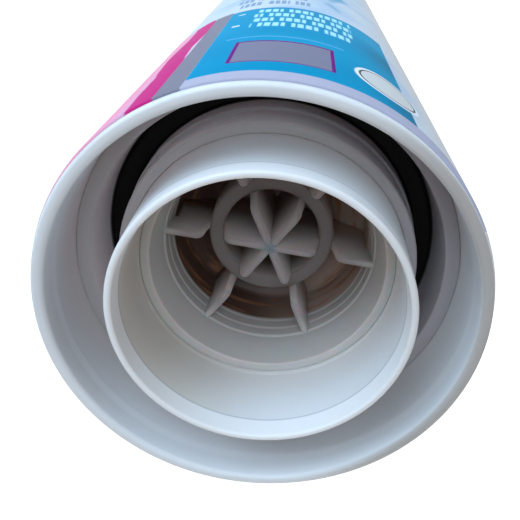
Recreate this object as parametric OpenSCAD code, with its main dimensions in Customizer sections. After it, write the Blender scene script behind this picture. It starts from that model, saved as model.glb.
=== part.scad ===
// Coaxial two-component cartridge for expansion resin: an inner barrel inside an
// outer one, a plunger piston in each, and a screw cap with a sealing plug at the
// outlet. It stands on its cap with the open rear end up, where a gun pushes in.

/* [Barrels] */
// Outside radius of the outer barrel
outer_r = 31; // [28:0.5:34]
// Wall of the outer barrel
outer_wall = 1.85; // [1.4:0.05:2.4]
// Outside radius of the inner barrel
inner_r = 21; // [18:0.5:23]
// Wall of the inner barrel
inner_wall = 1.4; // [1:0.05:2]
// Straight length of the outer barrel, from its shoulder to its rear rim
body_len = 196; // [150:1:240]
// How far the inner barrel stands out of the outer one at the rear
inner_proud = 1.2; // [0:0.1:4]
// Extra radius of each bore in its entry, where a piston is put in
entry_play = 0.15; // [0.05:0.05:0.4]
// Depth of the wider entry of the outer bore
outer_entry_len = 4; // [2:0.5:8]
// Extra radius of the inner bore at the mouth of its tapered lead-in
lead_in = 0.25; // [0.05:0.05:0.3]
// Length of the inner bore's lead-in, from its rear rim
lead_len = 3.2; // [1:0.1:6]
// Radius of the rounding on the rear rims
rim_round = 0.65; // [0.2:0.05:0.7]

/* [Head and neck] */
// Angle of the shoulder and of the inner barrel's cone above level
head_angle = 28; // [15:1:40]
// Wall of the shoulder, measured upright
head_wall = 2.4; // [1.8:0.1:4]
// Rounding between the shoulder and the outer barrel
shoulder_round = 3; // [1:0.5:6]
// Outside radius of the neck over its thread
neck_r = 12.6; // [12:0.1:15]
// Length of the threaded part of the neck
neck_len = 19.5; // [15:0.5:28]
// Radius of the neck's plain tip
tip_r = 10; // [9.5:0.1:10.5]
// Length of the neck's plain tip
tip_len = 2.8; // [2:0.1:4]
// Radius of the neck's bore
neck_bore_r = 8.6; // [8:0.1:9]
// Radius of the inner barrel's outlet bore
outlet_bore_r = 3.2; // [2.5:0.1:4]
// Wall of the inner barrel's outlet tube
outlet_wall = 1.6; // [1:0.1:2]
// Height of the inner barrel's straight end above the outer barrel's shoulder
inner_head_rise = 8; // [6:0.5:20]
// Number of fins that centre the outlet tube in the neck
fin_count = 4; // [3:1:6]
// Thickness of a centring fin
fin_t = 1.4; // [0.8:0.1:2]

/* [Pistons] */
// Depth of both pistons' rear rims below the outer barrel's rim
piston_depth = 14.1; // [8:0.1:30]
// Radial clearance of a piston's lips in its bore
lip_play = 0.05; // [0.03:0.01:0.1]
// How far a piston's waist stands back from its lips
waist = 0.4; // [0.2:0.05:0.8]
// Height of a piston's rear lip
lip_len = 3; // [2:0.1:4]
// Width of the annular piston's flat rear rim
skirt_rim = 2.2; // [1.6:0.1:3]
// Depth of the annular piston's floor below its rear rim
ring_floor_depth = 10.4; // [7:0.1:12]
// Thickness of the annular piston's floor
ring_floor_t = 1.8; // [1.2:0.1:3]
// Thickness of the annular piston's inner collar
collar_t = 1.6; // [0.8:0.1:2]
// Length of the annular piston's front lips
ring_lip_len = 4.2; // [2:0.1:6]
// Depth of the step on the annular piston's inner collar, below its rear rim
collar_step_depth = 5.5; // [4:0.1:9]
// Thickness of the core piston's skirt at its rear rim
core_skirt_t = 1.45; // [0.7:0.05:1.8]
// How much the core piston's skirt thickens from its rear rim down to its ribs
skirt_taper = 1; // [0:0.1:1.5]
// Depth of the core piston's floor at the skirt, below its rear rim
core_floor_depth = 18.4; // [16:0.1:24]
// Thickness of the core piston's floor, measured upright
core_floor_t = 1.8; // [1.2:0.1:3]
// Number of inward steps down the core piston's skirt
step_count = 3; // [1:1:4]
// Width of one inward step
step_w = 0.3; // [0.2:0.02:0.5]
// Height from one step to the next
step_h = 2; // [1:0.1:3]
// Number of arms in the hub's star, with an outer rib in line with each
rib_count = 6; // [4:1:8]
// Thickness of a rib
rib_t = 1.3; // [0.8:0.1:2]
// Angle of the first rib
rib_start = -3; // [-30:1:30]
// Depth of the ribs' rear edges below the rear rim
rib_depth = 6.35; // [5:0.05:8]
// Outside radius of the hub ring
hub_r = 10.4; // [8:0.05:12]
// Thickness of the hub ring
hub_t = 2.45; // [1:0.05:3]
// Depth of the hub ring's rear edge below the rear rim
hub_depth = 11.6; // [9:0.1:14]
// How far a rib's edge by the hub ring leans back
rib_lean = 0.7; // [0.2:0.1:1.5]

/* [Closure] */
// Outside radius of the screw cap
cap_r = 18; // [17:0.5:22]
// Height of the screw cap
cap_h = 24; // [18:0.5:24]
// Thickness of the cap's end wall
cap_end_t = 2; // [1.5:0.1:4]
// Clearance of the cap's bore round the neck
cap_play = 0.3; // [0.2:0.05:0.6]
// Number of grip grooves round the cap
groove_count = 24; // [16:1:36]
// Radius of a grip groove
groove_r = 1; // [0.5:0.1:1.4]
// Thickness of the plug's flange
flange_t = 1.6; // [1:0.1:2.5]
// Radius of the plug's flange
flange_r = 10.5; // [10.3:0.05:10.9]
// Length of the plug's centre pin
pin_len = 6.4; // [4:0.1:8]
// Length of the plug's sleeve
sleeve_len = 5.9; // [4:0.1:6]
// Height of the cap's lip over the plug's flange
hold_lip_h = 0.8; // [0.5:0.1:1.2]
// How far the cap's lip reaches in over the plug's flange
hold_lip_w = 0.25; // [0.1:0.05:0.4]
// Height of the plain bands above and below the cap's grip grooves
cap_band = 2; // [1:0.5:4]

/* [Label] */
// Thickness of the label film
label_t = 0.3; // [0.1:0.05:0.4]
// Bare height above and below the label
label_margin = 1.4; // [0.5:0.1:6]

/* [Hidden] */
$fn = 96;
sink = 0.6;      // how deep one form of a piece runs into another of the same piece
seat = 0.05;     // clearance between pieces that rest against each other
fill = 0.1;      // clearance of the resins inside their chambers
film_gap = 0.02; // clearance of the label over the barrel
end_gap = 0.35;  // gap between the outlet tube's end and the plug's flange
chamfer = 0.5;
draft = 0.1;     // taper of a moulded wall from one end to the other
core_tip_r = 3;  // flat tip of the core piston's nose
rise = tan(head_angle);

flange_z = cap_end_t + seat;
neck_z = flange_z + flange_t + seat;
thread_z = neck_z + tip_len;
shoulder_z = thread_z + neck_len;
body_z = shoulder_z + (outer_r - neck_r) * rise;
rim_z = body_z + body_len;
inner_rim_z = rim_z + inner_proud;
outer_bore_r = outer_r - outer_wall;
inner_bore_r = inner_r - inner_wall;
outlet_r = outlet_bore_r + outlet_wall;
flange_top = flange_z + flange_t;
outlet_z = flange_top + end_gap;
inner_head_z = body_z + inner_head_rise;
piston_z = rim_z - piston_depth;
piston_stop_z = piston_z + 1; // foot of the inner barrel's wider entry
fin_z = flange_top + sleeve_len + 1;
fin_r = outer_bore_r * 0.6;

ring_out_r = outer_bore_r - lip_play;
ring_in_r = inner_r + lip_play;
ring_floor_z = piston_z - ring_floor_depth;
ring_under_z = ring_floor_z - ring_floor_t;
ring_skirt_in_r = ring_out_r - skirt_rim;
collar_r = ring_in_r + collar_t;
collar_foot_r = collar_r + 0.4;

core_out_r = inner_bore_r - lip_play;
core_waist_r = core_out_r - waist;
core_skirt_r = core_out_r - core_skirt_t;
core_step_r = core_skirt_r - skirt_taper;
core_in_r = core_step_r - step_count * step_w - draft;
hub_in_r = hub_r - hub_t;

// Height of the shoulder's inner face at radius r
function shoulder_in(r) = shoulder_z + head_wall + (r - neck_r) * rise;
// Height of the inner cone's outer face at radius r
function cone_out(r) = inner_head_z - (inner_r - r) * rise;
// Height of the inner cone's inner face at radius r
function cone_in(r) = cone_out(r) + inner_wall / cos(head_angle);
// Height of the core piston's front face at radius r
function nose(r) = piston_z - core_floor_depth - core_floor_t - (core_in_r - r) * rise;
// Points on an arc of radius r round c, from angle a0 to a1
function arc(c, r, a0, a1, n = 5) =
    [for (i = [0:n]) let (a = a0 + (a1 - a0) * i / n) c + r * [cos(a), sin(a)]];

// Outer barrel with its shoulder and neck, moulded in one
module outer_barrel() {
    blend_x = shoulder_round * tan((90 - head_angle) / 2);
    color("ghostwhite") rotate_extrude() polygon(concat(
        [[neck_bore_r + chamfer, neck_z],
         [tip_r - chamfer, neck_z],
         [tip_r, neck_z + chamfer],
         [tip_r, thread_z],
         [neck_r - chamfer, thread_z],
         [neck_r, thread_z + chamfer],
         [neck_r, shoulder_z]],
        arc([outer_r - shoulder_round, body_z + blend_x], shoulder_round, head_angle - 90, 0),
        arc([outer_r - rim_round, rim_z - rim_round], rim_round, 0, 90),
        arc([outer_bore_r + entry_play + rim_round, rim_z - rim_round], rim_round, 90, 180),
        [[outer_bore_r + entry_play, rim_z - outer_entry_len],
         [outer_bore_r, rim_z - outer_entry_len - chamfer],
         [outer_bore_r, shoulder_in(outer_bore_r)],
         [neck_bore_r, shoulder_in(neck_bore_r)],
         [neck_bore_r, neck_z + chamfer]]));
}

// Centring fin, in the plane of radius and height
module fin(a) {
    tip = neck_bore_r - seat;
    rotate([90, 0, a]) linear_extrude(fin_t, center = true) polygon([
        [outlet_r - sink, fin_z],
        [tip, fin_z + tip - outlet_r],
        [tip, shoulder_in(tip) + seat],
        [fin_r, shoulder_in(fin_r) + seat],
        [fin_r, cone_out(fin_r) + sink],
        [outlet_r - sink, cone_out(outlet_r)]]);
}

// Inner barrel with its cone, outlet tube and centring fins
module inner_barrel() {
    entry_r = inner_bore_r + entry_play;
    mouth_r = entry_r + lead_in;
    bevel = chamfer / 2;
    round_r = min(rim_round, 0.9 * (inner_r - mouth_r)) / 2;
    color("white") union() {
        rotate_extrude() polygon(concat(
            [[outlet_bore_r, outlet_z],
             [outlet_r - bevel, outlet_z],
             [outlet_r, outlet_z + bevel],
             [outlet_r, cone_out(outlet_r)],
             [inner_r, inner_head_z]],
            arc([inner_r - round_r, inner_rim_z - round_r], round_r, 0, 90),
            arc([mouth_r + round_r, inner_rim_z - round_r], round_r, 90, 180),
            [[entry_r, inner_rim_z - lead_len],
             [entry_r, piston_stop_z],
             [inner_bore_r, piston_stop_z - chamfer],
             [inner_bore_r, cone_in(inner_bore_r)],
             [outlet_bore_r, cone_in(outlet_bore_r)]]));
        for (i = [0:fin_count - 1]) fin((i + 0.5) * 360 / fin_count);
    }
}

// Printed film wrapped all round the outer barrel
module label() {
    low = body_z + shoulder_round * tan((90 - head_angle) / 2) + label_margin;
    color("deepskyblue") rotate_extrude() translate([outer_r + film_gap, low])
        square([label_t, rim_z - label_margin - low]);
}

// Annular piston: an outer skirt, a floor and an inner collar, with lips in front
module annular_piston() {
    lip_z = ring_under_z - ring_lip_len;
    rear_z = piston_z - lip_len;
    step_z = piston_z - collar_step_depth;
    step = collar_foot_r - collar_r;
    color("gray") rotate_extrude() polygon([
        [ring_out_r - chamfer, piston_z],
        [ring_out_r, piston_z - chamfer],
        [ring_out_r, rear_z],
        [ring_out_r - waist, rear_z - waist],
        [ring_out_r - waist, ring_under_z + waist],
        [ring_out_r, ring_under_z],
        [ring_out_r, lip_z + chamfer],
        [ring_out_r - chamfer, lip_z],
        [ring_skirt_in_r, ring_under_z],
        [collar_foot_r + chamfer, ring_under_z],
        [ring_in_r + chamfer, lip_z],
        [ring_in_r, lip_z + chamfer],
        [ring_in_r, ring_under_z],
        [ring_in_r + waist, ring_under_z + waist],
        [ring_in_r + waist, rear_z - waist],
        [ring_in_r, rear_z],
        [ring_in_r, piston_z + chamfer],
        [collar_r, piston_z + chamfer],
        [collar_r, step_z],
        [collar_foot_r, step_z - step],
        [collar_foot_r, ring_floor_z],
        [ring_skirt_in_r - 4 * draft, ring_floor_z],
        [ring_skirt_in_r, piston_z]]);
}

// Height of the core piston's floor at radius r
function core_floor(r) = nose(max(r, core_tip_r)) + core_floor_t;

// Stepped cup of the core piston
module core_cup() {
    bevel = chamfer / 2;
    rear_z = piston_z - lip_len;
    front_z = nose(core_out_r - chamfer) + chamfer;
    steps = [for (i = [step_count - 1:-1:0])
        let (r = core_step_r - i * step_w, z = piston_z - rib_depth - i * step_h)
        each [[r - step_w, z - step_w], [r - (i > 0 ? draft : 0), z]]];
    rotate_extrude() polygon(concat(
        [[core_out_r - bevel, piston_z],
         [core_out_r, piston_z - bevel],
         [core_out_r, rear_z],
         [core_waist_r, rear_z - waist],
         [core_waist_r, front_z + lip_len + waist],
         [core_out_r, front_z + lip_len],
         [core_out_r, front_z],
         [core_out_r - chamfer, front_z - chamfer],
         [core_tip_r, nose(core_tip_r)],
         [0, nose(core_tip_r)],
         [0, core_floor(0)],
         [core_tip_r, core_floor(core_tip_r)],
         [core_in_r - 2 * chamfer, core_floor(core_in_r - 2 * chamfer)],
         [core_in_r, core_floor(core_in_r) + 2 * chamfer]],
        steps,
        [[core_skirt_r, piston_z]]));
}

// Rib in the plane of radius and height, from radius a to b with its foot in the floor,
// its rear edge leaning back by lean_a and lean_b to the hub ring's edge
module rib(a, b, lean_a, lean_b) {
    top = piston_z - rib_depth;
    low = piston_z - hub_depth;
    foot = a < core_tip_r ? [a, core_tip_r, b] : [a, b];
    rotate([90, 0, 0]) linear_extrude(rib_t, center = true) polygon(concat(
        [for (r = foot) [r, core_floor(r) - sink]],
        [[b, lean_b > 0 ? low : top],
         [b - lean_b, top],
         [a + lean_a, top],
         [a, lean_a > 0 ? low : top]]));
}

// Core piston: a cup with a hub ring, a star inside it and ribs out to the skirt
module core_piston() {
    hub_z = core_floor(hub_in_r) - sink;
    skirt_mid_r = (core_waist_r + core_skirt_r) / 2;
    color("gainsboro") union() {
        core_cup();
        rotate_extrude() translate([hub_in_r, hub_z])
            square([hub_t, piston_z - hub_depth - hub_z]);
        for (i = [0:rib_count - 1]) rotate(rib_start + i * 360 / rib_count) {
            rib(0, hub_in_r + draft, 0, rib_lean);
            rib(hub_r - draft, skirt_mid_r, rib_lean, 0);
        }
    }
}

// Black base resin: fills the space between the barrels, down to the plug's sleeve
module base_component() {
    low = flange_top + sleeve_len + fill;
    top = ring_under_z - fill;
    lip_z = top - ring_lip_len;
    color("black") difference() {
        rotate_extrude() polygon([
            [outlet_r + fill, low],
            [neck_bore_r - fill, low],
            [neck_bore_r - fill, shoulder_in(neck_bore_r) + fill],
            [outer_bore_r - fill, shoulder_in(outer_bore_r) + fill],
            [outer_bore_r - fill, lip_z],
            [ring_out_r - chamfer - fill, lip_z],
            [ring_skirt_in_r - fill, top],
            [collar_foot_r + chamfer + fill, top],
            [ring_in_r + chamfer + fill, lip_z],
            [inner_r + fill, lip_z],
            [inner_r + fill, inner_head_z - fill],
            [outlet_r + fill, cone_out(outlet_r) - fill]]);
        for (i = [0:fin_count - 1]) rotate((i + 0.5) * 360 / fin_count)
            translate([0, -fin_t / 2 - fill, 0])
            cube([fin_r + fill, fin_t + 2 * fill, inner_head_z]);
    }
}

// Brown hardener: fills the inner barrel, down to the plug's pin
module hardener_component() {
    low = flange_top + pin_len + fill;
    side = inner_bore_r - fill;
    color("saddlebrown") rotate_extrude() polygon([
        [0, low],
        [outlet_bore_r - fill, low],
        [outlet_bore_r - fill, cone_in(outlet_bore_r) + fill],
        [side, cone_in(side) + fill],
        [side, nose(side) - fill],
        [core_tip_r, nose(core_tip_r) - fill],
        [0, nose(core_tip_r) - fill]]);
}

// Sealing plug: a pin for the outlet tube and a sleeve for the neck, on one flange
module sealing_plug() {
    sleeve_out_r = neck_bore_r - seat;
    sleeve_in_r = outlet_r + seat;
    pin_r = outlet_bore_r - seat;
    sleeve_z = flange_top + sleeve_len;
    pin_z = flange_top + pin_len;
    color("white") rotate_extrude() polygon([
        [0, flange_z],
        [flange_r, flange_z],
        [flange_r, flange_top],
        [sleeve_out_r, flange_top],
        [sleeve_out_r, sleeve_z - chamfer],
        [sleeve_out_r - chamfer, sleeve_z],
        [sleeve_in_r + chamfer, sleeve_z],
        [sleeve_in_r, sleeve_z - chamfer],
        [sleeve_in_r, flange_top],
        [pin_r, flange_top],
        [pin_r, pin_z - chamfer],
        [pin_r - chamfer, pin_z],
        [0, pin_z]]);
}

// Screw cap with grip grooves, holding the plug's flange under an inner lip
module screw_cap() {
    bore_r = neck_r + cap_play;
    lip_z = flange_top + seat;
    lip_top = lip_z + hold_lip_h;
    hold_r = flange_r + 2 * seat;
    lip_r = tip_r + hold_lip_w;
    color("white") difference() {
        rotate_extrude() polygon([
            [0, 0],
            [cap_r - 2 * chamfer, 0],
            [cap_r, 2 * chamfer],
            [cap_r, cap_h - chamfer],
            [cap_r - chamfer, cap_h],
            [bore_r + chamfer, cap_h],
            [bore_r, cap_h - chamfer],
            [bore_r, lip_top + chamfer],
            [bore_r - chamfer, lip_top],
            [lip_r, lip_top],
            [lip_r, lip_z],
            [hold_r, lip_z],
            [hold_r, cap_end_t],
            [0, cap_end_t]]);
        for (i = [0:groove_count - 1]) rotate(i * 360 / groove_count)
            translate([cap_r + groove_r / 3, 0, cap_band])
            cylinder(r = groove_r, h = cap_h - 2 * cap_band);
    }
}

outer_barrel();
inner_barrel();
label();
annular_piston();
core_piston();
base_component();
hardener_component();
sealing_plug();
screw_cap();
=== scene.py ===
import math
import bpy
import bmesh
from mathutils import Matrix, Vector


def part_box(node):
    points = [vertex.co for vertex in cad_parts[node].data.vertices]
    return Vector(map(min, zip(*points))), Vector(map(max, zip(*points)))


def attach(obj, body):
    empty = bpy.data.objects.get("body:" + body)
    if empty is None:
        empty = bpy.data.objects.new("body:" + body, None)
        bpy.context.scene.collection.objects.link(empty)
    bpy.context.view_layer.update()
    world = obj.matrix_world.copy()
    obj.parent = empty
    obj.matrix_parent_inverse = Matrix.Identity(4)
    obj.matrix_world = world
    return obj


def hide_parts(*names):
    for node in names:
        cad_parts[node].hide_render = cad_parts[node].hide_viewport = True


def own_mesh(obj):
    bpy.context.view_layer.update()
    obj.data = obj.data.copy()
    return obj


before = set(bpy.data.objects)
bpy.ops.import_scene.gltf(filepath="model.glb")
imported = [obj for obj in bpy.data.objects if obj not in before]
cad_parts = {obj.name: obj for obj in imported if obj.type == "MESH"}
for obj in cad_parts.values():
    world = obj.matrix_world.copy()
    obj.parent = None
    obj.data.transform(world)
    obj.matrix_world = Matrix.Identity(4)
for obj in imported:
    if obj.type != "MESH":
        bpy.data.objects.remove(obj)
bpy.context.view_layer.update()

# Coaxial resin cartridge, seen from its open rear end. It stands on its screw cap, so the
# camera looks down into it. Lengths below are in millimetres and become metres in new_piece().
MM = 0.001


def top_of(node):
    """Height of a node's highest point, in millimetres."""
    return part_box(node)[1][2] / MM


def foot_of(node):
    """Height of a node's lowest point, in millimetres."""
    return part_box(node)[0][2] / MM


def radius_of(node):
    """Largest radius of a round node, in millimetres."""
    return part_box(node)[1][0] / MM


# Levels and radii taken from the frame
rim_z = top_of("outer_barrel")
outer_r = radius_of("outer_barrel")
inner_rim_z = top_of("inner_barrel")
inner_r = radius_of("inner_barrel")
neck_z = foot_of("outer_barrel")
outlet_z = foot_of("inner_barrel")
label_r = radius_of("label")
label_top = top_of("label")
label_foot = foot_of("label")
piston_z = top_of("core_piston")
ring_out_r = radius_of("annular_piston")
core_out_r = radius_of("core_piston")
cap_r = radius_of("screw_cap")
cap_h = top_of("screw_cap")

# Sizes that the boxes don't give, as in the part
PISTON_PLAY = 0.05
outer_bore_r = ring_out_r + PISTON_PLAY
inner_bore_r = core_out_r + PISTON_PLAY
ENTRY_PLAY = 0.15
LEAD_LEN = 3.2
LEAD_IN = 0.25
neck_r = 12.6
neck_core_r = 11.7
neck_bore_r = 8.6
tip_r = 10.0
outlet_bore_r = 3.2
outlet_r = 4.8
head_wall = 2.4
SLOPE = math.radians(28)
rise = math.tan(SLOPE)
thread_z = neck_z + 2.8
shoulder_z = thread_z + 19.5
core_in_r = core_out_r - 3.45
body_z = shoulder_z + (outer_r - neck_r) * rise
inner_head_z = body_z + 8.0

# Ring piston
RING_SKIRT_W = 2.2
RING_STEP_DEPTH = 5.5
RING_FLOOR_DEPTH = 10.4
RING_FLOOR_T = 1.8
RING_LIP_LEN = 4.2

# Core piston
SKIRT_R = core_out_r - 1.45
SKIRT_TAPER = 1.0
STEPS = 3
STEP_W = 0.3
STEP_H = 2.0
RIB_DEPTH = 6.35
HUB_DEPTH = 11.6
HUB_R = 10.4
HUB_T = 2.45
RIB_COUNT = 6
RIB_TURN = -3
RIB_T = 1.3
RIB_LEAN = 0.7
RIB_FILLET = 1.5
RIB_EDGE = 0.58
TIP_R = 3.0
CORE_FLOOR_DEPTH = 18.4
FLOOR_T = 1.8
rib_z = piston_z - RIB_DEPTH
hub_z = piston_z - HUB_DEPTH


# Mesh making

def rounded(corners, steps=5):
    """Outline through corners (r, z, fillet), each corner with a fillet as an arc."""
    points = []
    for i, (r, z, fillet) in enumerate(corners):
        here = Vector((r, z))
        back = Vector(corners[i - 1][:2]) - here
        ahead = Vector(corners[(i + 1) % len(corners)][:2]) - here
        angle = back.angle(ahead, 0)
        if fillet <= 0 or angle < 0.05 or angle > math.pi - 0.05:
            points.append(here)
            continue
        reach = min(fillet / math.tan(angle / 2), back.length * 0.45, ahead.length * 0.45)
        radius = reach * math.tan(angle / 2)
        centre = here + (back.normalized() + ahead.normalized()).normalized() * (
            radius / math.sin(angle / 2))
        start = here + back.normalized() * reach - centre
        turn = start.angle_signed(here + ahead.normalized() * reach - centre)
        for k in range(steps + 1):
            points.append(centre + Matrix.Rotation(-turn * k / steps, 2) @ start)
    return points


def add_object(name, data):
    """Object of the given data, put in the scene."""
    made = bpy.data.objects.new(name, data)
    bpy.context.scene.collection.objects.link(made)
    return made


def new_piece(name, bm, material, body, slot, *nodes):
    """Object from a bmesh in millimetres, riding on a body and standing for CAD nodes."""
    bmesh.ops.scale(bm, vec=(MM, MM, MM), verts=bm.verts)
    bmesh.ops.recalc_face_normals(bm, faces=bm.faces)
    data = bpy.data.meshes.new(name)
    bm.to_mesh(data)
    bm.free()
    data.shade_smooth()
    data.set_sharp_from_angle(angle=math.radians(38))
    piece = add_object(name, data)
    data.materials.append(material)
    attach(piece, body)
    if nodes:
        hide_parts(*nodes)
    return piece


def revolve(bm, points, segments, radius_at=None):
    """Closed solid of revolution. radius_at(r, z, angle) may change the radius round the turn."""
    rings = []
    for r, z in points:
        if r < 1e-6:
            rings.append([bm.verts.new((0, 0, z))])
            continue
        ring = []
        for k in range(segments):
            a = 2 * math.pi * k / segments
            rr = radius_at(r, z, a) if radius_at else r
            ring.append(bm.verts.new((rr * math.cos(a), rr * math.sin(a), z)))
        rings.append(ring)
    for i, ring in enumerate(rings):
        after = rings[(i + 1) % len(rings)]
        if len(ring) == 1 and len(after) == 1:
            continue
        for k in range(segments):
            j = (k + 1) % segments
            corners = [ring[k % len(ring)], ring[j % len(ring)],
                       after[j % len(after)], after[k % len(after)]]
            bm.faces.new(list(dict.fromkeys(corners)))


def plate(bm, outline, thickness, angle, edge):
    """Flat plate in the plane of radius and height, turned to an angle in degrees, its edges
    rounded by edge."""
    part = bmesh.new()
    front = [part.verts.new((r, -thickness / 2, z)) for r, z in outline]
    back = [part.verts.new((r, thickness / 2, z)) for r, z in outline]
    part.faces.new(front)
    part.faces.new(list(reversed(back)))
    for i in range(len(outline)):
        j = (i + 1) % len(outline)
        part.faces.new([front[j], front[i], back[i], back[j]])
    rims = [e for e in part.edges if abs(e.verts[0].co.y - e.verts[1].co.y) < 1e-6]
    bmesh.ops.bevel(part, geom=rims, offset=edge, segments=3, profile=0.5, affect="EDGES")
    bmesh.ops.rotate(part, verts=part.verts, cent=(0, 0, 0),
                     matrix=Matrix.Rotation(math.radians(angle), 3, "Z"))
    data = bpy.data.meshes.new("plate")
    part.to_mesh(data)
    part.free()
    bm.from_mesh(data)
    bpy.data.meshes.remove(data)


# Node trees

class Tree:
    """A material's node tree with short calls for the maths that a pattern needs. Places and
    edges in it are in metres."""

    def __init__(self, name):
        self.material = bpy.data.materials.new(name)
        self.material.use_nodes = True
        self.nodes = self.material.node_tree.nodes
        self.links = self.material.node_tree.links
        self.shader = self.nodes["Principled BSDF"]

    def put(self, socket, value):
        """Link a socket to another, or set its value."""
        if isinstance(value, bpy.types.NodeSocket):
            self.links.new(value, socket)
        else:
            socket.default_value = value

    def math(self, operation, *values):
        node = self.nodes.new("ShaderNodeMath")
        node.operation = operation
        for socket, value in zip(node.inputs, values):
            self.put(socket, value)
        return node.outputs[0]

    def times(self, a, b):
        return self.math("MULTIPLY", a, b)

    def place(self):
        """Object coordinates in metres, as a vector and as x, y, z sockets."""
        coordinates = self.nodes.new("ShaderNodeTexCoord")
        split = self.nodes.new("ShaderNodeSeparateXYZ")
        self.links.new(coordinates.outputs["Object"], split.inputs[0])
        return coordinates.outputs["Object"], split.outputs

    def step(self, value, edge, soft):
        """0 below edge, 1 above it, turning smoothly over soft each way."""
        node = self.nodes.new("ShaderNodeMapRange")
        node.interpolation_type = "SMOOTHSTEP"
        self.put(node.inputs["Value"], value)
        node.inputs["From Min"].default_value = edge - soft
        node.inputs["From Max"].default_value = edge + soft
        return node.outputs[0]

    def band(self, value, low, high, soft):
        """1 between low and high, 0 outside."""
        above = self.step(value, low, soft)
        below = self.math("SUBTRACT", 1.0, self.step(value, high, soft))
        return self.times(above, below)

    def upward(self):
        """1 where a face looks up, 0 where it is upright."""
        geometry = self.nodes.new("ShaderNodeNewGeometry")
        split = self.nodes.new("ShaderNodeSeparateXYZ")
        self.links.new(geometry.outputs["Normal"], split.inputs[0])
        return self.step(split.outputs[2], 0.45, 0.4)

    def minus_side(self, x, edge, soft):
        """1 on the -X side past edge, 0 on the other side."""
        return self.step(self.times(x, -1.0), edge, soft)

    def radius(self, x, y):
        """Distance from the axis."""
        return self.math("SQRT", self.math("ADD", self.times(x, x), self.times(y, y)))

    def degrees_round(self, x, y):
        """Degrees round the axis, 0 at the front and growing towards -X."""
        turn = self.math("ARCTAN2", self.times(x, -1.0), self.times(y, -1.0))
        return self.times(turn, 180 / math.pi)

    def mix(self, factor, a, b):
        """Colour a where factor is 0, colour b where it is 1."""
        node = self.nodes.new("ShaderNodeMix")
        node.data_type = "RGBA"
        self.put(node.inputs["Factor"], factor)
        self.put(node.inputs["A"], a)
        self.put(node.inputs["B"], b)
        return node.outputs["Result"]

    def tint(self, base, factor, amount, colour):
        """base, coloured by factor times amount."""
        return self.mix(self.times(factor, amount), base, colour)

    def noise(self, vector, scale, detail, stretch=None):
        """Noise from 0 to 1, its coordinates stretched first when stretch is given."""
        if stretch:
            mapping = self.nodes.new("ShaderNodeMapping")
            mapping.inputs["Scale"].default_value = stretch
            self.links.new(vector, mapping.inputs["Vector"])
            vector = mapping.outputs[0]
        node = self.nodes.new("ShaderNodeTexNoise")
        self.links.new(vector, node.inputs["Vector"])
        node.inputs["Scale"].default_value = scale
        node.inputs["Detail"].default_value = detail
        return node.outputs["Fac"]

    def bump(self, height, strength, distance):
        """Small relief on the surface from a height pattern."""
        node = self.nodes.new("ShaderNodeBump")
        node.inputs["Strength"].default_value = strength
        node.inputs["Distance"].default_value = distance
        self.links.new(height, node.inputs["Height"])
        self.links.new(node.outputs[0], self.shader.inputs["Normal"])

    def set(self, **values):
        """Set inputs of the shader, named with _ for a space."""
        for name, value in values.items():
            self.put(self.shader.inputs[name.replace("_", " ")], value)


def srgb(red, green, blue):
    """Linear colour of an sRGB triple from 0 to 255."""
    return tuple(
        c / 12.92 if c <= 0.04045 else ((c + 0.055) / 1.055) ** 2.4
        for c in (red / 255, green / 255, blue / 255)) + (1.0,)


def barrel_plastic(name, line_z=0.0):
    """Natural polypropylene: bluish white, faintly translucent, with fine moulding marks.
    Inside the bore a painted pink light on the +X side stands for light tinted by the label's
    magenta print. The bore is painted warmer deeper down as bounce light, and the rim's top is
    painted darker on the -X side as shade. With line_z a faint dark line of painted shade runs
    round the bore there at the lead-in's small step. The lead-in above it is painted lighter as
    a highlight, and the bore is painted darker on the +X side as shade."""
    tree = Tree(name)
    vector, (x, y, z) = tree.place()
    depth = tree.math("SUBTRACT", rim_z * MM, z)
    cloud = tree.noise(vector, 55.0, 3.0)
    base = tree.mix(cloud, srgb(224, 231, 238), srgb(213, 219, 226))
    # Painted pink light deep in the bore on the +X side, standing for light tinted by the label's
    # magenta print
    side = tree.band(tree.degrees_round(x, y), -100.0, -32.0, 22.0)
    pink = tree.times(side, tree.step(depth, 0.012, 0.010))
    base = tree.tint(base, pink, 0.9, srgb(250, 216, 224))
    # Painted warm bounce light: the walls warmer deeper down
    deep_painted_warmth = tree.step(depth, 0.010, 0.011)
    base = tree.tint(base, deep_painted_warmth, 0.8, srgb(236, 229, 223))
    # Painted shade: upward faces, the rim's top, darker on the -X side
    rim_painted_shade = tree.times(tree.upward(), tree.minus_side(x, 0.014, 0.010))
    base = tree.tint(base, rim_painted_shade, 0.9, srgb(170, 168, 166))
    if line_z:
        past_bore = tree.step(tree.radius(x, y), (inner_bore_r + 0.7) * MM, 0.0003)
        bore = tree.math("SUBTRACT", 1.0, past_bore)
        # Painted shade: the bore darker on the +X side
        shade = tree.times(bore, tree.step(x, 0.006, 0.010))
        base = tree.tint(base, shade, 0.8, srgb(204, 199, 190))
        # Painted highlight: the lead-in above the line lighter
        above = tree.step(z, (line_z + 0.05) * MM, 0.0001)
        base = tree.tint(base, above, 0.7, srgb(238, 243, 249))
        # Painted shade: a faint dark line at the lead-in's small step
        line = tree.band(z, (line_z - 0.14) * MM, (line_z + 0.04) * MM, 0.00006)
        base = tree.tint(base, line, 0.55, srgb(160, 172, 188))
    tree.set(Base_Color=base, Roughness=0.4, IOR=1.49, Specular_IOR_Level=0.2)
    tree.set(Subsurface_Weight=0.3, Subsurface_Scale=0.002)
    tree.shader.inputs["Subsurface Radius"].default_value = (1.0, 0.95, 0.9)
    marks = tree.noise(vector, 900.0, 2.0, stretch=(1.0, 1.0, 0.05))
    tree.bump(marks, 0.1, 0.0002)
    return tree.material


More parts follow.
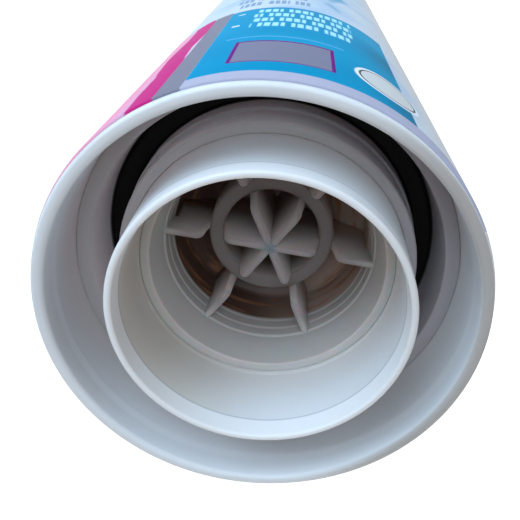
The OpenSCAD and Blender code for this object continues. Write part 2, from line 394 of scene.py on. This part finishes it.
def ring_piston_plastic():
    """Thin natural polyethylene, painted lighter on the +X side as light, and painted darker on
    the -X side and on its upward faces as shade. The black resin shows through its floor."""
    tree = Tree("ring_piston_plastic")
    vector, (x, y, z) = tree.place()
    depth = tree.math("SUBTRACT", piston_z * MM, z)
    wall = tree.mix(tree.step(depth, 0.0050, 0.0045), srgb(234, 229, 229), srgb(226, 215, 217))
    # Painted light: lighter on the +X side
    wall = tree.mix(tree.step(x, 0.006, 0.014), wall, srgb(246, 238, 240))
    # Painted shade: upward faces darker
    wall = tree.mix(tree.upward(), wall, srgb(188, 185, 186))
    # Painted shade: darker on the -X side
    wall = tree.tint(wall, tree.minus_side(x, 0.010, 0.012), 0.85, srgb(168, 164, 168))
    base = tree.mix(tree.step(depth, 0.0098, 0.0004), wall, srgb(9, 8, 9))
    tree.set(Base_Color=base, Roughness=0.45, Specular_IOR_Level=0.08)
    tree.set(Subsurface_Weight=0.25, Subsurface_Scale=0.0015)
    tree.bump(tree.noise(vector, 700.0, 2.0), 0.1, 0.0002)
    return tree.material


def core_piston_plastic():
    """Natural polyethylene: bluish grey at the skirt, and brown where resin shows through. Painted
    shade darkens the ribs' upward faces, painted glints streak the brown, and painted light
    lightens the brown on the -X side and inside the hub ring.
    """
    tree = Tree("core_piston_plastic")
    vector, (x, y, z) = tree.place()
    depth = tree.math("SUBTRACT", piston_z * MM, z)
    radius = tree.radius(x, y)
    ribs = tree.mix(tree.step(depth, 0.0125, 0.0060), srgb(206, 199, 198), srgb(158, 144, 138))
    # Painted shade: the upward faces of the ribs and arms darker, the hub ring's top darkest
    ring = tree.band(radius, (HUB_R - HUB_T - 0.1) * MM, (HUB_R + 0.05) * MM, 0.0001)
    edges = tree.mix(ring, srgb(162, 155, 156), srgb(124, 116, 114))
    ribs = tree.mix(tree.upward(), ribs, edges)
    skirt = tree.mix(tree.step(depth, 0.0075, 0.0045), srgb(196, 194, 192), srgb(166, 160, 156))
    base = tree.mix(tree.step(radius, (core_in_r - 1.0) * MM, 0.0018), ribs, skirt)
    # Painted glints: lighter orange-brown streaks in bands on the brown
    glint_noise = tree.noise(vector, 170.0, 3.0, stretch=(0.6, 0.6, 5.0))
    # Resin brown with painted light: lighter on the -X side and inside the hub ring
    brown_with_painted_light = tree.mix(tree.minus_side(x, 0.004, 0.008), srgb(92, 70, 62), srgb(172, 150, 138))
    brown_with_painted_light = tree.mix(tree.step(radius, HUB_R * MM, 0.0015), srgb(150, 126, 116), brown_with_painted_light)
    brown = tree.mix(tree.step(glint_noise, 0.60, 0.09), brown_with_painted_light, srgb(156, 110, 80))

    # The resin shows through the thin wall past the ribs and through the floor
    wall = tree.times(tree.step(radius, (core_in_r - 0.45) * MM, 0.00035),
                      tree.step(depth, 0.0111, 0.0002))
    floor = tree.step(depth, 0.0163, 0.0014)
    base = tree.mix(tree.math("MAXIMUM", wall, floor), base, brown)
    tree.set(Base_Color=base, Roughness=0.34, IOR=1.5, Specular_IOR_Level=0.2)
    tree.set(Subsurface_Weight=0.5, Subsurface_Scale=0.0015)
    tree.bump(tree.noise(vector, 420.0, 2.0), 0.08, 0.0003)
    return tree.material


def paste(name, colour):
    """Filled resin paste."""
    tree = Tree(name)
    vector, _ = tree.place()
    tree.set(Base_Color=colour, Roughness=0.3)
    tree.bump(tree.noise(vector, 300.0, 3.0), 0.2, 0.0004)
    return tree.material


def closure_plastic():
    """Satin moulded polypropylene of the cap and plug."""
    tree = Tree("closure_plastic")
    vector, _ = tree.place()
    base = tree.mix(tree.noise(vector, 90.0, 3.0), srgb(222, 226, 230), srgb(208, 213, 219))
    tree.set(Base_Color=base, Roughness=0.42)
    tree.bump(tree.noise(vector, 1100.0, 2.0), 0.15, 0.0002)
    return tree.material


# Printed fields of the label, as (low, high) in degrees round from the front and millimetres
# down from the barrel's rim
BLUE_TURN = (-23.4, 31.8)
STRIPE_TURN = (-30.0, -23.4)
PANEL_DEPTH = (5.2, 61.6)
PLATE_TURN = (-14.5, 9.8)
PLATE_DEPTH = (10.9, 24.9)
LINES_TURN = (-14.3, 18.3)
LINES_DEPTH = (38.2, 60.2)
LINE_COUNT = 4
BAND_END = 64.0

# Plain oval, as turn and depth of its middle and half its size each way
OVAL = (26.0, 17.2, 10.0, 6.6)


def label_film():
    """Printed film with plain fields of blue, grey and magenta, and bars for lines of words."""
    tree = Tree("label_film")
    vector, (x, y, z) = tree.place()
    turn = tree.degrees_round(x, y)
    depth = tree.times(tree.math("SUBTRACT", rim_z * MM, z), 1 / MM)

    def field(turns, depths, soft=0.2):
        """1 inside a rectangle, 0 outside."""
        return tree.times(tree.band(turn, *turns, soft), tree.band(depth, *depths, soft))

    def oval(shrink):
        """1 inside the oval, shrunk, and 0 outside."""
        middle_turn, middle_depth, half_turn, half_depth = OVAL
        across = tree.math("DIVIDE", tree.math("SUBTRACT", turn, middle_turn), half_turn * shrink)
        down = tree.math("DIVIDE", tree.math("SUBTRACT", depth, middle_depth),
                         half_depth * shrink)
        away = tree.math("ADD", tree.times(across, across), tree.times(down, down))
        return tree.math("SUBTRACT", 1.0, tree.step(away, 1.0, 0.05))

    def bars(depths, count, turns, pitch):
        """Rows of short bars, broken into groups."""
        row = tree.times(tree.math("SUBTRACT", depth, depths[0]),
                         count / (depths[1] - depths[0]))
        number = tree.math("FLOOR", row)
        shifted = tree.math("ADD", turn, tree.times(number, 1.3))
        bar = tree.math("FRACT", tree.math("DIVIDE", shifted, pitch))
        group = tree.math("SINE", tree.math("ADD", tree.times(turn, 0.61),
                                            tree.times(number, 2.4)))
        shown = tree.times(tree.band(tree.math("FRACT", row), 0.14, 0.84, 0.06),
                           tree.band(bar, 0.12, 0.86, 0.1))
        shown = tree.times(shown, tree.step(group, -0.82, 0.08))
        return tree.times(shown, field(turns, depths, 0.3))

    wave = tree.noise(vector, 60.0, 2.0)
    wavy = tree.math("ADD", turn, tree.times(wave, 7.0))

    # Ground: white film, ice blue at the front, and pink beside the magenta band
    ice = tree.mix(tree.step(wave, 0.5, 0.12), srgb(173, 199, 226), srgb(199, 214, 229))
    base = tree.mix(tree.band(turn, -42.0, 36.0, 8.0), srgb(214, 219, 226), ice)
    blots = tree.noise(vector, 95.0, 1.0, stretch=(1.0, 1.0, 0.5))
    blots = tree.times(tree.step(blots, 0.62, 0.04), field((2.0, 26.0), (BAND_END, 108.0), 3.0))
    base = tree.mix(blots, base, srgb(104, 168, 204))
    base = tree.mix(bars((66.0, 96.0), 4, (-24.0, 4.0), 2.3), base, srgb(132, 160, 196))
    pink = tree.times(tree.band(turn, -64.0, -34.0, 15.0), tree.band(depth, 0.0, BAND_END, 3.0))
    base = tree.mix(pink, base, srgb(240, 150, 186))
    magenta = tree.times(tree.band(wavy, -35.0, -26.5, 0.5),
                         tree.band(depth, 0.0, BAND_END, 0.4))
    base = tree.mix(magenta, base, srgb(200, 48, 132))
    base = tree.mix(field(STRIPE_TURN, (0.0, 63.0)), base, srgb(130, 131, 149))

    # Blue panel with a grey band along its lower edge
    base = tree.mix(field((BLUE_TURN[0], 60.0), (0.0, PANEL_DEPTH[0])), base,
                    srgb(176, 179, 203))
    # Blue painted darker towards the panel's far side as shade, with patches of painted sheen
    shaded_blue = tree.mix(tree.step(turn, 24.0, 7.0), srgb(0, 142, 190), srgb(0, 118, 158))
    sheen = tree.mix(tree.step(tree.noise(vector, 38.0, 1.0), 0.55, 0.15), shaded_blue,
                     srgb(0, 154, 200))
    base = tree.mix(field(BLUE_TURN, PANEL_DEPTH), base, sheen)
    for turns, depths, soft, colour in (
            ((-19.0, 14.0), (28.8, 29.5), 0.25, srgb(92, 168, 214)),
            ((-20.2, -17.7), (42.1, 43.3), 0.15, srgb(214, 236, 250)),
            ((-20.4, -18.0), (55.9, 57.0), 0.15, srgb(190, 226, 248))):
        base = tree.mix(field(turns, depths, soft), base, colour)
    base = tree.mix(bars(LINES_DEPTH, LINE_COUNT, LINES_TURN, 2.55), base,
                    srgb(166, 226, 252))

    # Bare grey plate in a purple frame, and a plain white oval
    base = tree.mix(field((PLATE_TURN[0] - 1.0, PLATE_TURN[1] + 1.0),
                          (PLATE_DEPTH[0] - 0.4, PLATE_DEPTH[1] + 0.7), 0.12), base,
                    srgb(112, 26, 128))
    base = tree.mix(field(PLATE_TURN, PLATE_DEPTH, 0.12), base, srgb(126, 128, 152))
    base = tree.mix(oval(1.0), base, srgb(226, 236, 246))
    base = tree.mix(oval(0.88), base, srgb(70, 66, 70))
    base = tree.mix(oval(0.82), base, srgb(206, 212, 216))

    tree.set(Base_Color=base, Roughness=0.34, Specular_IOR_Level=0.003)
    tree.bump(tree.noise(vector, 30.0, 2.0), 0.12, 0.0012)
    return tree.material


outer_plastic = barrel_plastic("outer_barrel_plastic")
inner_plastic = barrel_plastic("inner_barrel_plastic", inner_rim_z - LEAD_LEN)
ring_plastic = ring_piston_plastic()
core_plastic = core_piston_plastic()
closure = closure_plastic()
black_paste = paste("black_paste", srgb(18, 18, 19))
brown_paste = paste("brown_paste", srgb(84, 50, 30))


# Barrels

def shoulder_in(r):
    """Height of the shoulder's inside at radius r."""
    return shoulder_z + head_wall + (r - neck_r) * rise


def cone_out(r):
    """Height of the inner barrel's cone, outside, at radius r."""
    return inner_head_z - (inner_r - r) * rise


def cone_in(r):
    """Height of the inner barrel's cone, inside, at radius r."""
    return cone_out(r) + (inner_r - inner_bore_r) / math.cos(SLOPE)


def make_outer_barrel():
    """Tube with its entry taper, shoulder, and neck with a thread."""
    entry_r = outer_bore_r + ENTRY_PLAY
    entry_z = rim_z - 3.6
    bore_z = rim_z - 5.0
    bm = bmesh.new()
    revolve(bm, rounded([
        (neck_bore_r, neck_z, 0.4), (tip_r, neck_z, 0.4), (tip_r, thread_z, 0.2),
        (neck_core_r, thread_z, 0.3), (neck_core_r, shoulder_z - 0.5, 1.2),
        (outer_r, body_z, 4.0), (outer_r, rim_z, 0.5), (entry_r, rim_z, 0.85),
        (entry_r, entry_z, 1.5), (outer_bore_r, bore_z, 1.5),
        (outer_bore_r, shoulder_in(outer_bore_r), 1.5),
        (neck_bore_r, shoulder_in(neck_bore_r), 1.0)]), 256)
    thread(bm, thread_z + 1.2, shoulder_z - 1.6)
    return new_piece("outer_shell", bm, outer_plastic, "barrel", "barrel", "outer_barrel")


def thread(bm, low, high, pitch=3.0, per_turn=72):
    """Helical ridge round the neck, fading in and out at its ends."""
    count = int((high - low) / pitch * per_turn)
    fade_steps = 18
    root_r = neck_core_r - 0.3
    low_r = neck_core_r + 0.02
    rings = []
    for k in range(count + 1):
        a = 2 * math.pi * k / per_turn
        z = low + pitch * k / per_turn
        fade = min(1.0, k / fade_steps, (count - k) / fade_steps)
        crest = low_r + (neck_r - low_r) * fade
        section = [(root_r, -0.85), (crest, -0.3), (crest, 0.3), (root_r, 0.85)]
        rings.append([bm.verts.new((r * math.cos(a), r * math.sin(a), z + dz))
                      for r, dz in section])
    for before, after in zip(rings, rings[1:]):
        for i in range(len(before)):
            j = (i + 1) % len(before)
            bm.faces.new([before[i], before[j], after[j], after[i]])
    bm.faces.new(rings[0])
    bm.faces.new(list(reversed(rings[-1])))


def make_inner_barrel():
    """Tube with its lead-in, cone and outlet, and the fins that centre it in the shoulder."""
    entry_r = inner_bore_r + ENTRY_PLAY
    mouth_r = entry_r + LEAD_IN
    wall_r = entry_r - 0.07
    lead_z = inner_rim_z - LEAD_LEN
    stop_z = piston_z + 1.0
    bm = bmesh.new()
    revolve(bm, rounded([
        (outlet_bore_r, outlet_z, 0.2), (outlet_r, outlet_z, 0.25),
        (outlet_r, cone_out(outlet_r), 1.0), (inner_r, inner_head_z, 1.0),
        (inner_r, inner_rim_z, 0.45), (mouth_r, inner_rim_z, 0.42),
        (entry_r, lead_z, 0.0), (wall_r, lead_z - 0.15, 0.0),
        (wall_r, stop_z, 0.2), (inner_bore_r, stop_z - 0.5, 0.2),
        (inner_bore_r, cone_in(inner_bore_r), 1.0),
        (outlet_bore_r, cone_in(outlet_bore_r), 0.6)]), 224)
    fins = 4
    fin_t = 1.4
    fin_z = outlet_z + 6.55
    fin_r = outer_bore_r * 0.6
    sunk = 0.6
    play = 0.05
    tip = neck_bore_r - play
    for k in range(fins):
        plate(bm, [(outlet_r - sunk, fin_z), (tip, fin_z + tip - outlet_r),
                   (tip, shoulder_in(tip) + play), (fin_r, shoulder_in(fin_r) + play),
                   (fin_r, cone_out(fin_r) + sunk), (outlet_r - sunk, cone_out(outlet_r))],
              fin_t, 45 + 360 / fins * k, 0.2)
    return new_piece("inner_shell", bm, inner_plastic, "barrel", "barrel", "inner_barrel")


def make_label():
    """Thin film round the straight part of the outer barrel."""
    bm = bmesh.new()
    film = 0.3
    revolve(bm, rounded([
        (label_r - film, label_foot, 0.0), (label_r, label_foot, 0.12),
        (label_r, label_top, 0.12), (label_r - film, label_top, 0.0)], 3), 256)
    return new_piece("label_film", bm, label_film(), "barrel", "label", "label")


# Pistons

def make_ring_piston():
    """Piston between the barrels: skirt, floor, collar round the inner tube, and front lips."""
    lip_len = 3.0
    waist = 0.4
    skirt_in = ring_out_r - RING_SKIRT_W
    in_r = inner_r + PISTON_PLAY
    collar_r = in_r + 1.6
    foot_r = collar_r + 0.4
    collar_z = piston_z + 0.5
    step_z = piston_z - RING_STEP_DEPTH
    floor_z = piston_z - RING_FLOOR_DEPTH
    under_z = floor_z - RING_FLOOR_T
    lip_z = under_z - RING_LIP_LEN
    rear_z = piston_z - lip_len
    bm = bmesh.new()
    revolve(bm, rounded([
        (ring_out_r, piston_z, 0.12), (ring_out_r, rear_z, 0.3),
        (ring_out_r - waist, rear_z - waist, 0.3), (ring_out_r - waist, under_z + waist, 0.3),
        (ring_out_r, under_z, 0.3), (ring_out_r, lip_z, 0.4), (ring_out_r - 0.5, lip_z, 0.2),
        (skirt_in, under_z, 0.5), (foot_r + 0.5, under_z, 0.5), (in_r + 0.5, lip_z, 0.2),
        (in_r, lip_z, 0.3), (in_r, under_z, 0.3), (in_r + waist, under_z + waist, 0.3),
        (in_r + waist, rear_z - waist, 0.3), (in_r, rear_z, 0.3), (in_r, collar_z, 0.2),
        (collar_r, collar_z, 0.5), (collar_r, step_z, 0.3),
        (foot_r, step_z - 0.4, 0.3), (foot_r, floor_z, 0.6), (skirt_in - 0.4, floor_z, 0.8),
        (skirt_in, piston_z, 0.3)]), 224)
    return new_piece("ring_piston", bm, ring_plastic, "annular_piston", "ring_piston",
                     "annular_piston")


def nose(r):
    """Height of the core piston's front face at radius r."""
    return piston_z - CORE_FLOOR_DEPTH - FLOOR_T - (core_in_r - r) * rise


def core_floor(r):
    """Height of the core piston's floor at radius r."""
    return nose(max(r, TIP_R)) + FLOOR_T


def root(r):
    """Height of a rib's root at radius r, sunk into the floor."""
    return core_floor(r) - 0.6


def cup_profile():
    """Outline of the core piston's stepped cup, with its front lip and cone nose."""
    front_z = nose(core_out_r - 0.5) + 0.5
    rear_z = piston_z - 3.0
    waist_r = core_out_r - 0.4
    corners = [
        (core_out_r, piston_z, 0.12), (core_out_r, rear_z, 0.3),
        (waist_r, rear_z - 0.4, 0.3), (waist_r, front_z + 3.4, 0.3),
        (core_out_r, front_z + 3.0, 0.3), (core_out_r, front_z, 0.3),
        (core_out_r - 0.5, front_z - 0.5, 0.3), (TIP_R, nose(TIP_R), 1.0),
        (0.0, nose(TIP_R), 0.0), (0.0, core_floor(0), 0.0),
        (TIP_R, core_floor(TIP_R), 1.0), (core_in_r, core_floor(core_in_r), 1.2)]
    for i in reversed(range(STEPS)):
        r = SKIRT_R - SKIRT_TAPER - i * STEP_W
        z = rib_z - i * STEP_H
        corners += [(r - STEP_W, z - STEP_W, 0.15), (r - (0.1 if i else 0), z, 0.15)]
    corners.append((SKIRT_R, piston_z, 0.3))
    return corners


def rib_outline(a, b):
    """Outline of a rib from the hub ring at radius a out to b, its rear edge leaning back
    to the ring."""
    return [tuple(p) for p in rounded([
        (a, root(a), 0.0), (b, root(b), 0.0), (b, rib_z, 0.0),
        (a + RIB_LEAN, rib_z, RIB_FILLET), (a, hub_z, 0.0)], 4)]


def arm_outline(b):
    """Outline of a pair of the star's arms, from -b to b."""
    return [tuple(p) for p in rounded([
        (-b, root(b), 0.0), (-TIP_R, root(0), 0.0), (TIP_R, root(0), 0.0), (b, root(b), 0.0),
        (b, hub_z, 0.0), (b - RIB_LEAN, rib_z, RIB_FILLET), (RIB_LEAN - b, rib_z, RIB_FILLET),
        (-b, hub_z, 0.0)], 4)]


def make_core_piston():
    """Piston of the inner barrel: cup, hub ring, a star of arms inside it and ribs outside."""
    bm = bmesh.new()
    revolve(bm, rounded(cup_profile()), 224)
    hub_in = HUB_R - HUB_T
    foot = root(hub_in)
    revolve(bm, rounded([(hub_in, foot, 0.0), (HUB_R, foot, 0.0),
                         (HUB_R, hub_z, 0.45), (hub_in, hub_z, 0.45)]), 160)
    boss_r = 1.15
    boss_z = rib_z - 0.02
    boss_foot = rib_z - 3
    revolve(bm, rounded([(0, boss_foot, 0), (boss_r, boss_foot, 0),
                         (boss_r, boss_z, 0.5), (0, boss_z, 0)]), 48)
    for k in range(RIB_COUNT):
        angle = RIB_TURN + 360 / RIB_COUNT * k
        plate(bm, rib_outline(HUB_R - 0.1, SKIRT_R + 0.5), RIB_T, angle, RIB_EDGE)
        if k < RIB_COUNT // 2:
            plate(bm, arm_outline(hub_in + 0.1), RIB_T, angle, RIB_EDGE)
    return new_piece("core_plunger", bm, core_plastic, "core_piston", "core_piston",
                     "core_piston")


# Closure

def make_cap():
    """Screw cap: a revolve whose radius dips at each grip groove."""
    grooves = 24
    groove_depth = 0.75
    groove_half = 0.9 / cap_r
    groove_end = 2.0
    fade = 0.6
    floor_z = 2.0
    bore_r = neck_r + 0.3
    lip_r = 10.25
    lip_foot = 3.7
    pocket_r = 10.6

    def grip(r, z, a):
        if r < cap_r - 0.01 or not groove_end < z < cap_h - groove_end:
            return r
        pitch = 2 * math.pi / grooves
        off = abs((a + pitch / 2) % pitch - pitch / 2)
        across = max(0.0, 1 - (off / groove_half) ** 2)
        along = min(1.0, (z - groove_end) / fade, (cap_h - groove_end - z) / fade)
        return r - groove_depth * math.sqrt(across) * max(0.0, along)

    wall = [(cap_r, z) for z in
            [1.6, 2.01, 2.3, 2.6, 5, 9, 13, 17, cap_h - 2.6, cap_h - 2.3, cap_h - 2.01]]
    below = rounded([(0, floor_z, 0), (0, 0, 0), (cap_r, 0, 1.1), (cap_r, 1.6, 0)])[:-1]
    above = rounded([(cap_r, cap_h - 1.5, 0), (cap_r, cap_h, 0.8), (bore_r, cap_h, 0.6),
                     (bore_r, 5.0, 0.3), (lip_r, 4.5, 0.1), (lip_r, lip_foot, 0.1),
                     (pocket_r, lip_foot, 0.1), (pocket_r, floor_z, 0.1)])
    bm = bmesh.new()
    outline = [tuple(p) for p in below] + wall + [tuple(p) for p in above]
    revolve(bm, outline, grooves * 16, grip)
    return new_piece("grip_cap", bm, closure, "cap", "closure", "screw_cap")


# Resins, each split into what lies ahead of the pistons' travel and the rest under its piston.

GAP = 0.1


def fill(name, corners, material, slot, node):
    """Round body of resin through sharp corners (r, z)."""
    bm = bmesh.new()
    revolve(bm, rounded([(r, z, 0.0) for r, z in corners]), 96)
    return new_piece(name, bm, material, "barrel", slot, node)


def make_black_resin():
    """Ring of resin between the barrels, up to the ring piston's floor between its lips."""
    floor_z = piston_z - RING_FLOOR_DEPTH - RING_FLOOR_T - GAP
    lip_z = floor_z - RING_LIP_LEN
    tip_z = 9.65
    split_z = inner_head_z + 1.0
    outer, inner, neck = outer_bore_r - GAP, inner_r + GAP, neck_bore_r - GAP
    made = ("base_resin", "base_component")
    fill("black_resin_head", [
        (outlet_r + GAP, tip_z), (neck, tip_z), (neck, shoulder_in(neck) + GAP),
        (outer, shoulder_in(outer) + GAP), (outer, split_z), (inner, split_z),
        (inner, inner_head_z - GAP), (outlet_r + GAP, cone_out(outlet_r) - GAP)],
        black_paste, *made)
    low = split_z + GAP
    column = fill("black_resin_column", [
        (inner, low), (outer, low), (outer, lip_z), (ring_out_r - 0.5, lip_z),
        (ring_out_r - RING_SKIRT_W, floor_z), (inner + 1.9, floor_z), (inner + 0.4, lip_z),
        (inner, lip_z)], black_paste, *made)
    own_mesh(column)


def make_brown_resin():
    """Resin of the inner barrel. Its head is a cone, so it is made as rings, each in its step."""
    tube_r = outlet_bore_r - GAP
    tip_z = 10.15
    made = ("hardener", "hardener_component")
    fill("brown_resin_outlet", [
        (0, tip_z), (tube_r, tip_z), (tube_r, cone_in(tube_r)), (0, cone_in(tube_r))],
        brown_paste, *made)
    edges = [0.0, 6.2, 9.6, 13.0, 16.3, inner_bore_r - GAP]
    for i, (a, b) in enumerate(zip(edges, edges[1:])):
        low_a = max(a, tube_r)
        foot = [(r, cone_in(r) + GAP) for r in (low_a, b)]
        head = [(b, nose(b) - GAP), (max(a, TIP_R), nose(max(a, TIP_R)) - GAP)]
        if a < TIP_R:
            foot = [(a, foot[0][1])] + foot
            head.append((a, head[-1][1]))
        ring = fill(f"brown_resin_ring_{i + 1}", foot + head, brown_paste, *made)
        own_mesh(ring)


# Camera, floor and light

def make_camera():
    """Camera at the photograph's place, from a fit to the rims and bores."""
    data = bpy.data.cameras.new("camera")
    camera = add_object("camera", data)
    data.sensor_width = 36.0
    data.lens = 47.164
    data.shift_x = -0.0562
    data.shift_y = 0.0215
    data.clip_start = 0.002
    data.clip_end = 20.0
    off_axis = 1.5853 * outer_r
    above_rim = 2.5034 * outer_r
    forward = Vector((-0.0284, 0.4741, -0.8800)).normalized()
    up = Vector((0.1194, -0.8725, -0.4739))
    up = (up - up.dot(forward) * forward).normalized()
    right = forward.cross(up)
    turn = Matrix((right, up, -forward)).transposed()
    place = Vector((-0.0145 * outer_r, -off_axis, rim_z + above_rim)) * MM
    camera.matrix_world = Matrix.Translation(place) @ turn.to_4x4()
    bpy.context.scene.camera = camera


def seen_white(nodes, links, shown, lit):
    """Mix of two shaders: shown to the camera, gloss and glass, and lit for all other rays."""
    path = nodes.new("ShaderNodeLightPath")
    seen = path.outputs["Is Camera Ray"]
    for ray in ("Is Glossy Ray", "Is Transmission Ray"):
        either = nodes.new("ShaderNodeMath")
        either.operation = "MAXIMUM"
        links.new(seen, either.inputs[0])
        links.new(path.outputs[ray], either.inputs[1])
        seen = either.outputs[0]
    mixer = nodes.new("ShaderNodeMixShader")
    links.new(seen, mixer.inputs["Fac"])
    links.new(lit, mixer.inputs[1])
    links.new(shown, mixer.inputs[2])
    return mixer.outputs[0]


def make_floor():
    """Grey floor that glows just enough to look white and keep a soft shadow."""
    bm = bmesh.new()
    bmesh.ops.create_grid(bm, x_segments=1, y_segments=1, size=3.0)
    data = bpy.data.meshes.new("floor")
    bm.to_mesh(data)
    bm.free()
    floor = add_object("floor", data)
    material = bpy.data.materials.new("floor_white")
    material.use_nodes = True
    nodes, links = material.node_tree.nodes, material.node_tree.links
    shader = nodes["Principled BSDF"]
    shader.inputs["Base Color"].default_value = (0.8, 0.8, 0.8, 1)
    shader.inputs["Roughness"].default_value = 0.9
    glow = nodes.new("ShaderNodeEmission")
    glow.inputs["Strength"].default_value = 0.72
    both = nodes.new("ShaderNodeAddShader")
    links.new(shader.outputs[0], both.inputs[0])
    links.new(glow.outputs[0], both.inputs[1])
    out = seen_white(nodes, links, both.outputs[0], shader.outputs[0])
    links.new(out, nodes["Material Output"].inputs["Surface"])
    data.materials.append(material)


def make_world():
    """Warm fill light that looks white to the camera."""
    world = bpy.data.worlds.new("world")
    bpy.context.scene.world = world
    world.use_nodes = True
    nodes, links = world.node_tree.nodes, world.node_tree.links
    lit = nodes["Background"]
    lit.inputs["Color"].default_value = (1.0, 0.84, 0.70, 1)
    lit.inputs["Strength"].default_value = 0.32
    white = nodes.new("ShaderNodeBackground")
    white.inputs["Color"].default_value = (1, 1, 1, 1)
    white.inputs["Strength"].default_value = 1.0
    out = seen_white(nodes, links, white.outputs[0], lit.outputs[0])
    links.new(out, nodes["World Output"].inputs["Surface"])


def make_lamp(name, place, target, size, power, colour):
    """Round lamp at a place, aimed at a target, with its size in metres and power in watts."""
    data = bpy.data.lights.new(name, "AREA")
    data.shape = "DISK"
    data.size = size
    data.energy = power
    data.color = colour
    lamp = add_object(name, data)
    lamp.location = place
    lamp.rotation_euler = (Vector(target) - Vector(place)).to_track_quat("-Z", "Y").to_euler()


make_camera()
make_floor()
make_world()
make_lamp("key", (0.56, -0.98, 0.61), (0, 0, 0.2), 1.0, 12.8, (0.63, 0.83, 1.0))
make_lamp("top", (0.0, -0.6, 1.24), (0, 0, 0.2), 1.0, 5.2, (0.72, 0.86, 1.0))
make_lamp("back", (-0.35, 1.15, 0.3), (0, 0, 0.12), 0.9, 5.0, (0.86, 0.93, 1.0))
make_outer_barrel()
make_inner_barrel()
make_label()
make_ring_piston()
make_core_piston()
make_cap()
make_black_resin()
make_brown_resin()
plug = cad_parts["sealing_plug"]
plug.data.materials.clear()
plug.data.materials.append(closure)

scene = bpy.context.scene
scene.view_settings.view_transform = "Standard"
